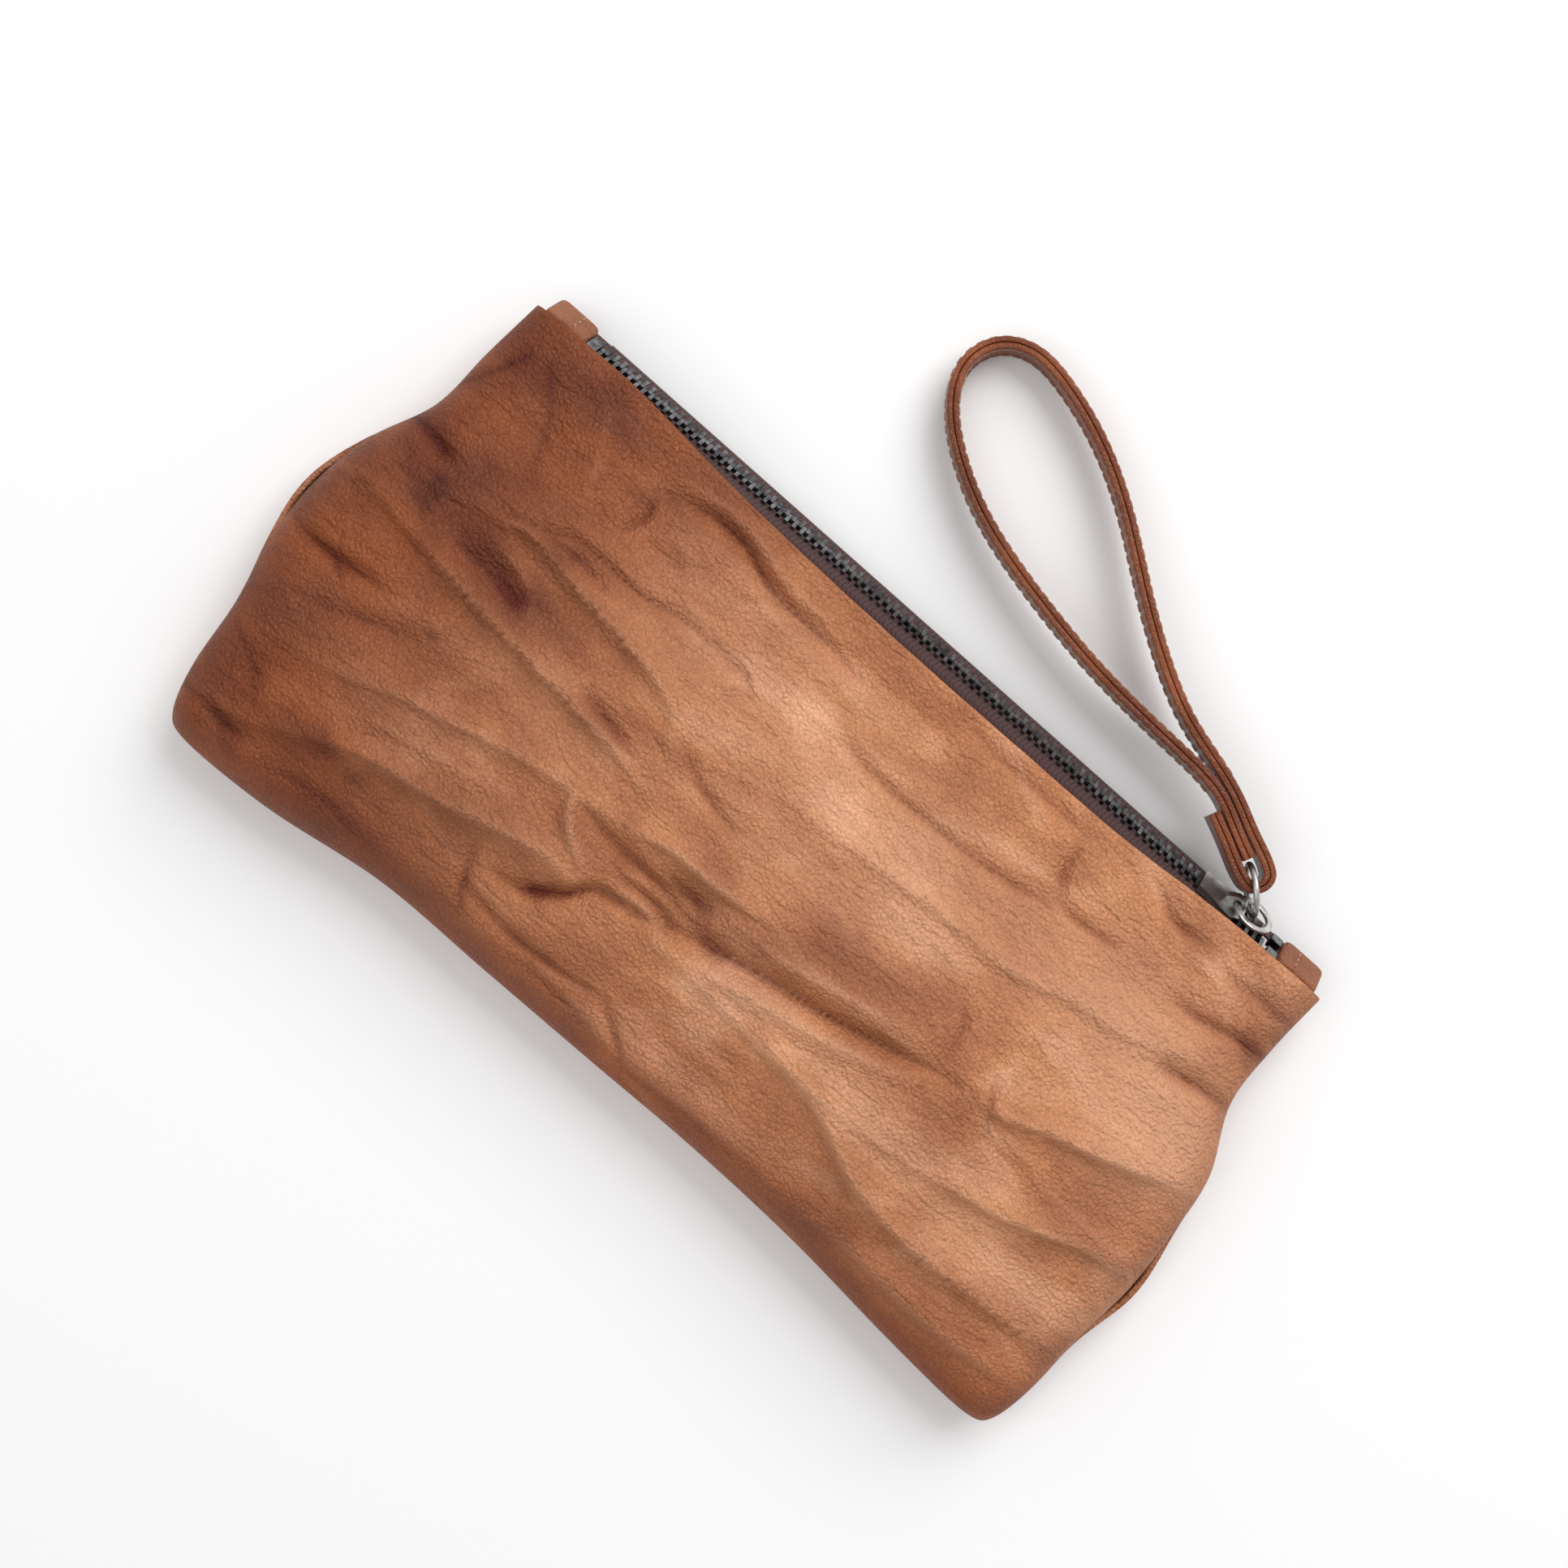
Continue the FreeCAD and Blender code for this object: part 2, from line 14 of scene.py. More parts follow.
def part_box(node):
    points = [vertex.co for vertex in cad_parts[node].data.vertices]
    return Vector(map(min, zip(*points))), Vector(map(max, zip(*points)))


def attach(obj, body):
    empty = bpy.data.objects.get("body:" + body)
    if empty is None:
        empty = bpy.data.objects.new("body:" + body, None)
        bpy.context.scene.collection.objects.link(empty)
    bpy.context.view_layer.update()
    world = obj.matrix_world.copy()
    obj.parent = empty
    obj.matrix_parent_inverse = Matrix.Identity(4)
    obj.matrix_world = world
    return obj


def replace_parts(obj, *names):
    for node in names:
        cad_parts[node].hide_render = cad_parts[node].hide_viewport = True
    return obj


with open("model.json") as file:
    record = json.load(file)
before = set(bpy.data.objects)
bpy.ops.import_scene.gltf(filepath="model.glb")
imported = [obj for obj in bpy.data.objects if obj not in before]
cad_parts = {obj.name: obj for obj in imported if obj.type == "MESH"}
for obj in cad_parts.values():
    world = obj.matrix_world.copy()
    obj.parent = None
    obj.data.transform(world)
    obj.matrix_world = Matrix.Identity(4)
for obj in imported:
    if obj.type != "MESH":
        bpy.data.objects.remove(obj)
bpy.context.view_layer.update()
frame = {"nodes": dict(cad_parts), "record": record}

# %% [markdown]
# The pouch's edges and folds are given lists, smoothed by one curve. A Catmull-Rom curve passes through
# every chosen point, so the numbers stay readable as places on the real pouch.

# %% Smooth lists and grids
MM = 0.001


def along(values, f):
    """Smooth value of an even list at fractions f: the cubic through the two nearest entries
    whose slopes are half the step across each entry."""
    values = np.asarray(values, float)
    last = len(values) - 1
    ends = np.concatenate([[2 * values[0] - values[1]], values, [2 * values[-1] - values[-2]]])
    i = np.clip((f * last).astype(int), 0, last - 1)
    t = f * last - i
    a, b, c, d = ends[i], ends[i + 1], ends[i + 2], ends[i + 3]
    return 0.5 * (2 * b + (c - a) * t + (2 * a - 5 * b + 4 * c - d) * t ** 2
                  + (3 * b - a - 3 * c + d) * t ** 3)


def smooth_line(points, count):
    """Evenly counted points on the smooth curve through the given plan points."""
    points = np.asarray(points, float)
    f = np.linspace(0, 1, count)
    return np.stack([along(points[:, k], f) for k in range(points.shape[1])], 1)


def grid_mesh(name, points, wrap_u=False, wrap_v=False):
    """Mesh of quads over a grid of points (rows, columns, 3), in metres."""
    rows, cols = points.shape[:2]
    i = np.arange(rows if wrap_u else rows - 1)
    j = np.arange(cols if wrap_v else cols - 1)
    a, b = np.meshgrid(i, j, indexing="ij")
    c, d = (a + 1) % rows, (b + 1) % cols
    faces = np.stack([a * cols + b, c * cols + b, c * cols + d, a * cols + d], -1).reshape(-1, 4)
    mesh = bpy.data.meshes.new(name)
    mesh.from_pydata(points.reshape(-1, 3), [], faces.tolist())
    mesh.polygons.foreach_set("use_smooth", np.ones(len(mesh.polygons), bool))
    mesh.update()
    obj = bpy.data.objects.new(name, mesh)
    bpy.context.collection.objects.link(obj)
    print(name, "faces", len(faces))
    return obj


def pull(wave, power):
    """Sine or cosine drawn out towards a square wave, for superellipses."""
    return np.sign(wave) * np.abs(wave) ** power


def paint(obj, name, values):
    """Stores one number per vertex as a named attribute for the material."""
    layer = obj.data.attributes.new(name, "FLOAT", "POINT")
    layer.data.foreach_set("value", np.ascontiguousarray(values, np.float32).ravel())


# %% [markdown]
# Materials come first. The leather is tumbled: fine pebbles of cells pressed close together, with cloudy
# colour, darker handled stains with painted shade in the creases, painted shade along the bottom and rim,
# and pale rubbed places with painted highlights on the ridges.

# %% Node helpers


def nodes_of(name):
    mat = bpy.data.materials.new(name)
    mat.use_nodes = True
    tree = mat.node_tree
    return mat, tree, tree.nodes["Principled BSDF"]


def add(tree, kind, **values):
    """New node with its properties, or its inputs by name, set."""
    node = tree.nodes.new(kind)
    for key, value in values.items():
        if hasattr(node, key):
            setattr(node, key, value)
        else:
            node.inputs[key.replace("_", " ")].default_value = value
    return node


def ramp(tree, source, stops):
    """Colour ramp on a value; stops are (place, colour)."""
    node = tree.nodes.new("ShaderNodeValToRGB")
    while len(node.color_ramp.elements) < len(stops):
        node.color_ramp.elements.new(0.5)
    for element, (place, colour) in zip(node.color_ramp.elements, stops):
        element.position = place
        element.color = (*colour, 1)
    tree.links.new(source, node.inputs[0])
    return node.outputs[0]


def mixed(tree, kind, factor, a, b):
    """Mix of two colours; factor may be a number or a socket."""
    node = tree.nodes.new("ShaderNodeMix")
    node.data_type = "RGBA"
    node.blend_type = kind
    for socket, value in ((node.inputs[0], factor), (node.inputs[6], a), (node.inputs[7], b)):
        if hasattr(value, "is_output"):
            tree.links.new(value, socket)
        else:
            socket.default_value = value
    return node.outputs[2]


def scaled(tree, a, b, operation="MULTIPLY"):
    """Arithmetic on two values; either may be a number or a socket."""
    node = tree.nodes.new("ShaderNodeMath")
    node.operation = operation
    for socket, value in zip(node.inputs, (a, b)):
        if hasattr(value, "is_output"):
            tree.links.new(value, socket)
        else:
            socket.default_value = value
    return node.outputs[0]


def bumped(tree, height, distance, strength):
    node = tree.nodes.new("ShaderNodeBump")
    node.inputs["Distance"].default_value = distance
    node.inputs["Strength"].default_value = strength
    tree.links.new(height, node.inputs["Height"])
    return node.outputs[0]


# %% Leather
TAN = (0.56, 0.235, 0.104)
TAN_PALE = (0.74, 0.38, 0.22)
TAN_DEEP = (0.44, 0.165, 0.073)
# The next colour darkens the left end's own tone and the back, and paints shade along the bottom and beside
# the rim.
TONED_AND_SHADED = (0.48, 0.28, 0.15, 1)
# The next colour darkens real stains and paints shade in creases and fold hollows, and darkens the back
# beside its rim.
STAINED_AND_SHADED = (0.3, 0.13, 0.12, 1)
TAB = (0.27, 0.092, 0.038)
TAB_PALE = (0.4, 0.15, 0.07)
STRAP = (0.18, 0.043, 0.011)
STRAP_PALE = (0.27, 0.075, 0.022)
STRAP_DEEP = (0.15, 0.036, 0.012)


def leather(name, base, pale, deep, pebble, relief, rough, painted):
    """Pebbled leather. Height is cells of two sizes over a low slackness; colour follows
    clouds, and streaks that lie along the hide."""
    mat, tree, shader = nodes_of(name)
    coord = tree.nodes.new("ShaderNodeTexCoord").outputs["Object"]
    drawn = add(tree, "ShaderNodeMapping")
    drawn.inputs["Scale"].default_value = (1.0, 2.6, 2.0)
    tree.links.new(coord, drawn.inputs["Vector"])
    cells = add(tree, "ShaderNodeTexVoronoi", feature="SMOOTH_F1", Scale=pebble, Smoothness=0.6)
    small = add(tree, "ShaderNodeTexVoronoi", feature="DISTANCE_TO_EDGE", Scale=pebble * 0.75)
    cloud = add(tree, "ShaderNodeTexNoise", Scale=48.0, Detail=6.0, Roughness=0.6)
    streak = add(tree, "ShaderNodeTexNoise", Scale=20.0, Detail=3.5, Roughness=0.5, Distortion=1.2)
    slack = add(tree, "ShaderNodeTexNoise", Scale=85.0, Detail=4.0, Roughness=0.55, Distortion=1.6)
    for node in (cells, small, cloud):
        tree.links.new(coord, node.inputs["Vector"])
    for node in (streak, slack):
        tree.links.new(drawn.outputs["Vector"], node.inputs["Vector"])
    colour = ramp(tree, streak.outputs["Fac"], [(0.32, deep), (0.5, base), (0.68, pale)])
    warm = ramp(tree, cloud.outputs["Fac"], [(0.3, (0.74, 0.66, 0.62)), (0.66, (1.1, 1.1, 1.1))])
    colour = mixed(tree, "MULTIPLY", 1.0, colour, warm)
    pit = ramp(tree, small.outputs["Distance"], [(0.0, (0.7, 0.6, 0.54)), (0.16, (1.03, 1.03, 1.02))])
    colour = mixed(tree, "MULTIPLY", 0.55, colour, pit)
    if painted:
        darkening = add(tree, "ShaderNodeAttribute", attribute_name="tone_and_shade")
        dark = add(tree, "ShaderNodeAttribute", attribute_name="stain_and_shade")
        rub_and_highlight = add(tree, "ShaderNodeAttribute", attribute_name="rub_and_highlight")
        # Pale rubbed places, and painted highlights on ridges and fold tops.
        colour = mixed(tree, "MIX", rub_and_highlight.outputs["Fac"], colour, (*pale, 1))
        # Darker tone at the left end, and painted shade along the bottom and beside the rim.
        uneven = scaled(tree, darkening.outputs["Fac"], scaled(tree, streak.outputs["Fac"], 0.5, "ADD"))
        colour = mixed(tree, "MULTIPLY", uneven, colour, TONED_AND_SHADED)
        # Real stains, and painted shade in creases and fold hollows.
        patchy = scaled(tree, dark.outputs["Fac"], scaled(tree, cloud.outputs["Fac"], 2.1))
        colour = mixed(tree, "MULTIPLY", patchy, colour, STAINED_AND_SHADED)
    tree.links.new(colour, shader.inputs["Base Color"])
    height = scaled(tree, scaled(tree, cells.outputs["Distance"], -0.9),
                    scaled(tree, small.outputs["Distance"], 1.3), "ADD")
    height = scaled(tree, height, scaled(tree, slack.outputs["Fac"], 3.0), "ADD")
    tree.links.new(bumped(tree, height, distance=0.0007, strength=relief), shader.inputs["Normal"])
    gloss = ramp(tree, cloud.outputs["Fac"], [(0.3, (rough,) * 3), (0.7, (rough + 0.14,) * 3)])
    tree.links.new(gloss, shader.inputs["Roughness"])
    shader.inputs["Specular IOR Level"].default_value = 0.32
    return mat


pouch_leather = leather("pouch_leather", TAN, TAN_PALE, TAN_DEEP, pebble=1050.0, relief=0.8,
                        rough=0.48, painted=True)
tab_leather = leather("tab_leather", TAB, TAB_PALE, STRAP_DEEP, pebble=1050.0, relief=0.5,
                      rough=0.45, painted=False)
strap_leather = leather("strap_leather", STRAP, STRAP_PALE, STRAP_DEEP, pebble=1500.0, relief=0.3,
                        rough=0.25, painted=False)

# %% Metal, tape and thread


def metal(name, light, dark, rough):
    """Worn metal: dark tarnish in cloudy patches over a brighter rubbed colour."""
    mat, tree, shader = nodes_of(name)
    coord = tree.nodes.new("ShaderNodeTexCoord").outputs["Object"]
    cloud = add(tree, "ShaderNodeTexNoise", Scale=420.0, Detail=4.0)
    scratch = add(tree, "ShaderNodeTexNoise", Scale=2600.0, Detail=3.0)
    tree.links.new(coord, cloud.inputs["Vector"])
    tree.links.new(coord, scratch.inputs["Vector"])
    colour = ramp(tree, cloud.outputs["Fac"], [(0.35, dark), (0.65, light)])
    tree.links.new(colour, shader.inputs["Base Color"])
    gloss = ramp(tree, cloud.outputs["Fac"], [(0.3, (rough + 0.16,) * 3), (0.7, (rough,) * 3)])
    tree.links.new(gloss, shader.inputs["Roughness"])
    relief = bumped(tree, scratch.outputs["Fac"], distance=0.00004, strength=0.4)
    tree.links.new(relief, shader.inputs["Normal"])
    shader.inputs["Metallic"].default_value = 1.0
    return mat


nickel = metal("antique_nickel", (0.62, 0.61, 0.59), (0.36, 0.35, 0.34), rough=0.3)
gunmetal = metal("gunmetal_teeth", (0.22, 0.22, 0.23), (0.035, 0.035, 0.04), rough=0.2)


def woven(name, warp, weft, scale):
    """Ribbed tape: slanting waves crossed with a second set give a fine twill."""
    mat, tree, shader = nodes_of(name)
    coord = tree.nodes.new("ShaderNodeTexCoord").outputs["Object"]
    one = add(tree, "ShaderNodeTexWave", wave_type="BANDS", bands_direction="DIAGONAL", Scale=scale)
    two = add(tree, "ShaderNodeTexWave", wave_type="BANDS", bands_direction="X", Scale=scale * 1.3)
    fuzz = add(tree, "ShaderNodeTexNoise", Scale=1500.0, Detail=3.0)
    for node in (one, two, fuzz):
        tree.links.new(coord, node.inputs["Vector"])
    height = scaled(tree, one.outputs["Fac"], two.outputs["Fac"])
    height = scaled(tree, height, scaled(tree, fuzz.outputs["Fac"], 0.5), "ADD")
    colour = ramp(tree, height, [(0.2, weft), (0.8, warp)])
    tree.links.new(colour, shader.inputs["Base Color"])
    tree.links.new(bumped(tree, height, distance=0.0002, strength=0.6), shader.inputs["Normal"])
    shader.inputs["Roughness"].default_value = 0.85
    shader.inputs["Sheen Weight"].default_value = 0.08
    return mat


zip_cloth = woven("zip_tape_cloth", (0.1, 0.043, 0.04), (0.03, 0.013, 0.012), scale=480.0)
thread = woven("waxed_thread", (0.5, 0.26, 0.15), (0.3, 0.13, 0.07), scale=900.0)
finishes = {
    "front_teeth": gunmetal, "back_teeth": gunmetal, "bottom_stop": gunmetal, "top_stops": gunmetal,
    "slider_body": nickel, "slider_crown": nickel, "pull_tab": nickel, "pull_ring": nickel,
    "front_tape": zip_cloth, "back_tape": zip_cloth, "left_tab_stitches": thread,
    "right_tab_stitches": thread, "strap_stitches": thread,
}
for node, mat in finishes.items():
    data = frame["nodes"][node].data
    data.materials.clear()
    data.materials.append(mat)
print("finished nodes", len(finishes))

# %% [markdown]
# The pouch is two panels sewn round three sides. Each is one height field over a plan whose
# edges bulge: a quarter-round edge rises from the sewn rim, and a low dome fills the middle.
# Folds are lines pressed into the field, because slack leather creases along lines.

# %% Pouch outline and height
LENGTH, DEPTH, MOUTH = 250.8, 134.0, 66.0
SEAM, ROLL, ROLL_STEPS = 9.6, 10.0, 14
CORNER, CORNER_REACH = 2.2, 5.0
EDGE, CROWN, MOUTH_RISE = 9.5, 9.0, 9.5
RIM_GAP = 0.05              # from the seam to each panel's rim
LEATHER = 1.3
BACK_INSET = 0.6            # of the back's mouth edge
REST = 0.1                  # of the back over the table
# The back shows past the front at these shares of the depth, over this share of it.
PEEK_LEFT, PEEK_RIGHT, PEEK_WIDTH = 0.5, 0.38, 0.12
LEFT = [1.3, 4.9, 6.9, 10.8, 11.9, 9.2, 2.4, 1.4, 0.0]
RIGHT = [8.6, 10.2, 10.5, 11.8, 10.8, 8.4, 0.6, -0.6, 0.0]
BOTTOM = [0.5, -1.4, -6.3, -6.9, -7.5, -8.2, -7.5, -5.0, -3.0]
MOUTH_BOW = [0.5, 0.9, -1.4, -2.6, -3.0, -2.8, -2.4, -0.2, 0.5]


def spaced(length, count, both):
    """Distances along a run, close together where the edge rolls: a quarter circle's cosines.
    The edge rolls at both ends, or only at the first."""
    start = ROLL * (1 - np.cos(np.linspace(0, np.pi / 2, ROLL_STEPS)))
    if not both:
        return np.concatenate([start, np.linspace(ROLL, length, count)[1:]])
    middle = np.linspace(ROLL, length - ROLL, count)[1:-1]
    return np.concatenate([start, middle, length - start[::-1]])


def panel_plan(count_u, count_v, bow, widen):
    """Plan of a panel: x blends its two sides, y blends its bottom and mouth edges."""
    a, b = np.meshgrid(spaced(LENGTH, count_u, True), spaced(DEPTH, count_v, False), indexing="ij")
    s, v = a / LENGTH, b / DEPTH
    left = -LENGTH / 2 - along(LEFT, v) - widen * np.exp(-((v - PEEK_LEFT) / PEEK_WIDTH) ** 2)
    right = LENGTH / 2 + along(RIGHT, v) + widen * np.exp(-((v - PEEK_RIGHT) / PEEK_WIDTH) ** 2)
    bottom = MOUTH - DEPTH - along(BOTTOM, s)
    mouth = MOUTH + (along(MOUTH_BOW, s) if bow else -BACK_INSET)
    edge = np.minimum(np.minimum(a, LENGTH - a), b)
    lift = np.ones_like(s)
    for d in (a, LENGTH - a, b):
        lift *= np.sqrt(np.clip(1 - (1 - np.minimum(d, ROLL) / ROLL) ** 2, 0, 1))
    draw_left = CORNER * np.exp(-(a + b) / CORNER_REACH)
    draw_right = CORNER * np.exp(-(LENGTH - a + b) / CORNER_REACH)
    x = left + (right - left) * s + draw_left - draw_right
    return s, v, x, bottom + (mouth - bottom) * v + draw_left + draw_right, edge, lift


# %% Folds of the front
# Each fold is a line of pouch places in millimetres, from left to right, then its rise in
# millimetres (a crease is negative), its half width in millimetres, and its lean: 0 has even
# sides, 1 falls gently towards the mouth and steeply towards the bottom.
FOLDS = [
    # along the zip, left
    ([(-70, 53), (-60, 56), (-50, 56.5), (-44, 54.5), (-38, 52.5), (-28, 51.8), (-18, 51.5),
      (-8, 50)], -2.8, 1.5, 0),
    ([(-72, 57.5), (-58, 60), (-46, 58.5), (-34, 56), (-18, 55)], 1.8, 2.6, 0),
    ([(-72, 49), (-52, 51), (-34, 48), (-12, 46.5)], 1.3, 3.0, 0),
    ([(-73, 39), (-71, 45), (-72, 50)], -1.4, 1.4, 0),
    ([(-97, 24), (-85, 28), (-78, 31), (-60, 31), (-48, 33), (-30, 33), (-24, 30)], -1.5, 1.1, 0),
    # upper left
    ([(-112, 18), (-95, 22), (-88, 24), (-70, 21.5), (-48, 19), (-40, 17), (-35, 15),
      (-31, 9)], 2.6, 2.2, 1),
    ([(-84, 26.5), (-76, 27.5), (-66, 26)], -2.0, 2.0, 0),
    ([(-99, 11.5), (-88, 11.5), (-78, 9.5)], -2.4, 3.4, 0),
    ([(-97, 17), (-86, 17), (-79, 14), (-75, 9)], 1.3, 2.0, 0),
    ([(-134, 27.5), (-124, 27), (-114, 25)], -3.6, 2.2, 0),
    ([(-130, 35), (-122, 46), (-117, 56)], -1.8, 3.2, 0),
    ([(-112, 58), (-104, 48), (-98, 36)], -1.2, 4.0, 0),
    ([(-94, 58), (-88, 48), (-84, 38)], 1.3, 4.0, 0),
    # long ridge from the left side
    ([(-138, 10), (-118, 7), (-105, 5.5), (-85, 3), (-65, 1.5), (-45, 0), (-38, -0.8),
      (-30, -3)], 3.0, 2.2, 1),
    ([(-54, 5), (-45, 3.6), (-37, 1.6)], -2.4, 1.8, 0),
    ([(-30, 12), (-22, 8), (-12, 5), (-4, 4)], -1.3, 1.8, 0),
    ([(-138, -8), (-128, -10.4), (-116, -9.5), (-104, -8)], -3.0, 1.8, 0),
    ([(-122, -22), (-112, -20), (-98, -14), (-84, -11)], -1.3, 2.6, 0),
    # middle left
    ([(-112, -33), (-97, -29), (-88, -25), (-75, -21.5), (-62, -18), (-52, -15.5), (-40, -14),
      (-28, -13.5)], 2.2, 2.2, 1),
    ([(-40, -14), (-38, -18), (-34, -22), (-27, -25.5)], 2.6, 1.7, 0),
    ([(-36, -15), (-24, -16.6), (-10, -17), (2, -19)], -2.4, 1.5, 0),
    ([(-24, -11.5), (-14, -9), (0, -8.5), (12, -7)], 2.6, 1.6, 1),
    ([(-10, -13.5), (-4, -14), (3, -13.5)], -2.6, 2.2, 0),
    ([(-20, -22), (-10, -20.8), (-2, -22.5)], -2.2, 1.4, 0),
    ([(-18, -24.5), (-10, -23.5), (-2, -25.5)], 1.6, 1.4, 0),
    # long ridge, lower left, and the crumple at its end
    ([(-112, -54), (-98, -47), (-90, -43), (-82, -40), (-72, -38), (-62, -36.5), (-48, -32.5),
      (-36, -29.5), (-26, -30)], 3.4, 2.4, 1),
    ([(-42, -40), (-35, -39.5), (-30, -36), (-26, -33), (-22, -28), (-15, -26), (-4, -24)], -3.6, 1.9, 0),
    ([(-100, -38), (-84, -32), (-66, -28), (-52, -24)], 1.2, 3.4, 1),
    ([(-50, -38), (-46, -47), (-42, -54)], -1.4, 2.0, 0),
    ([(-46, -47), (-30, -49), (-15, -48), (-2, -46.5)], -2.0, 1.5, 0),
    ([(-28, -53), (-12, -52.5), (4, -55)], -1.4, 1.5, 0),
    ([(-132, -56), (-118, -57), (-106, -56)], -2.0, 1.8, 0),
    ([(-128, -37), (-118, -42), (-110, -49)], -1.8, 3.0, 0),
    ([(-100, -57), (-84, -55), (-66, -55.5)], -1.2, 2.0, 0),
    # main valley to the right
    ([(-6, -24), (4, -21), (14, -18.6), (24, -16.4), (40, -13.5), (54, -10), (66, -6.6),
      (76, -4.5)], -3.6, 1.9, 0),
    ([(-2, -28), (14, -24), (30, -20.5), (48, -16.5), (64, -11.5)], 1.9, 2.8, 0),
    ([(8, -12), (24, -10.5), (40, -7), (58, -3)], 1.6, 3.0, 0),
    # right upper
    ([(-2, 36.2), (20, 35.5), (45, 37), (60, 40)], -1.6, 1.2, 0),
    ([(-2, 17.5), (20, 19), (40, 21), (60, 22), (70, 24), (80, 27), (90, 28), (100, 31),
      (116, 38)], 1.7, 2.0, 1),
    ([(57.5, 56), (58.5, 48), (62, 42.5)], -1.6, 1.2, 0),
    ([(62, 42), (70, 42), (80, 43.4)], -1.5, 1.2, 0),
    ([(14, 61), (28, 58.6), (44, 58.8), (58, 58.6)], -1.2, 1.5, 0),
    ([(78, 61), (86, 57), (96, 58.5)], -1.6, 1.4, 0),
    ([(96, 43), (105, 43.5), (115, 46), (127, 47)], -2.2, 1.7, 0),
    ([(104, 56), (114, 56.5), (127, 57.5)], -1.6, 1.8, 0),
    ([(104, 29), (114, 31), (128, 33.5)], -3.0, 2.2, 0),
    # small wrinkles across the right middle
    ([(60, 10), (64, 5), (66, -4)], -0.7, 1.6, 0),
    ([(77, 2), (80, -3), (85, -10)], -0.8, 1.4, 0),
    # right side
    ([(74, -6), (85, -4), (95, 0), (105, 3), (115, 6), (128, 11), (138, 14)], 3.0, 2.2, 1),
    ([(76, -27), (90, -24), (100, -22), (110, -18.5), (120, -15), (138, -12)], 2.8, 2.2, 1),
    ([(36, -29), (48, -31), (55, -33), (62, -36.5), (70, -39.5), (80, -41), (92, -41.5), (112, -40.5),
      (138, -38)],
     3.6, 2.6, 1),
    ([(-4, -27.5), (20, -29), (40, -29.4), (60, -28.5), (76, -28)], 1.5, 2.0, 1),
    ([(66, -52.5), (80, -51.5), (95, -52.5), (110, -52.5), (122, -51), (138, -50)], 2.2, 1.8, 1),
    ([(-2, -47), (5, -51), (10, -54.5)], -1.6, 1.4, 0),
    ([(10, -55.5), (30, -54), (52, -53)], -1.6, 1.4, 0),
]
# Handled dark places: place and radius in millimetres, and strength.
STAINS = [
    ((-108, 24), 8, 0.55), ((-100, 14), 6, 0.45), ((-126, -30), 9, 0.35), ((-86, -30), 7, 0.3),
    ((-70, 8), 6, 0.3), ((-112, 60), 11, 0.5), ((-94, 58), 6, 0.45), ((-120, 52), 6, 0.5),
    ((-56, 60), 7, 0.42), ((-70, 50), 4, 0.5), ((-119, 16), 5.5, 0.85), ((-113, 20), 2.5, 0.9),
    ((-88, 12), 9, 0.55), ((-80, 14), 6, 0.5), ((-76, 27), 5, 0.55), ((-106, 30), 9, 0.35),
    ((-128, 27), 5, 0.6), ((-93, -8), 1.5, 0.9), ((-117, -10.5), 2, 0.6), ((-58, 43), 3, 0.45),
    ((-45, 2.5), 6, 0.4), ((-48, -26), 9, 0.3), ((-34, -37), 4, 0.5), ((-96, -46), 3.5, 0.6),
    ((-84, -43.5), 3, 0.6), ((-60, -38), 7, 0.4), ((-125, -48), 9, 0.4), ((-114, -56), 5, 0.6),
    ((-85, -57), 9, 0.4), ((-62, -52), 10, 0.25), ((2, -14), 6, 0.5), ((18, -12), 5, 0.35),
    ((32, -3), 7, 0.4), ((20, -7), 5, 0.4), ((46, 2), 8, 0.25), ((8, -17), 5, 0.4),
    ((118, 56), 6, 0.35), ((121, 47), 3.5, 0.6), ((128, -12), 6, 0.4), ((76, -23), 6, 0.3),
    ((130, -38), 4, 0.4), ((74, -51), 5, 0.35), ((90, 59), 4, 0.3), ((-134, 0), 8, 0.4),
]
# Pale places, partly rubbed leather and partly painted highlight: place, half widths along and across, and
# strength.
RUBBED_AND_HIGHLIT = [
    ((116, 16), (18, 13), 0.75), ((-32, 32), (30, 14), 0.25), ((30, 30), (40, 14), 0.3),
    ((50, -22), (26, 6), 0.35), ((94, 32), (26, 18), 0.45), ((-60, -4), (24, 7), 0.2),
    ((100, -30), (22, 6), 0.4), ((20, 8), (30, 8), 0.25),
]

FOLD_STEPS = 60
FOLD_END = 0.06              # share of a half wave that a fold starts and stops at
GENTLE, STEEP = 1.6, 0.4     # a full lean adds to one side and takes from the other


def pressed(x, y, folds):
    """Sum of folds. Each has its full rise on its line and falls off with the distance over
    the half width; the lean widens the side towards the mouth and narrows the other."""
    total = np.zeros_like(x)
    for places, rise, half, lean in folds:
        line = smooth_line(places, FOLD_STEPS)
        way = np.gradient(line, axis=0)
        way /= np.linalg.norm(way, axis=1)[:, None]
        off_x = x[..., None] - line[:, 0]
        off_y = y[..., None] - line[:, 1]
        gap = off_x ** 2 + off_y ** 2
        near = gap.argmin(-1)
        across = np.take_along_axis(way[:, 0] * off_y - way[:, 1] * off_x, near[..., None], -1)[..., 0]
        wide = half * np.where(across > 0, 1 + GENTLE * lean, 1 - STEEP * lean)
        fade = np.sin(np.pi * (FOLD_END + (1 - 2 * FOLD_END) * near / (FOLD_STEPS - 1))) ** 0.7
        total += rise * fade * np.exp(-(np.sqrt(gap.min(-1)) / wide) ** 1.4)
    return total


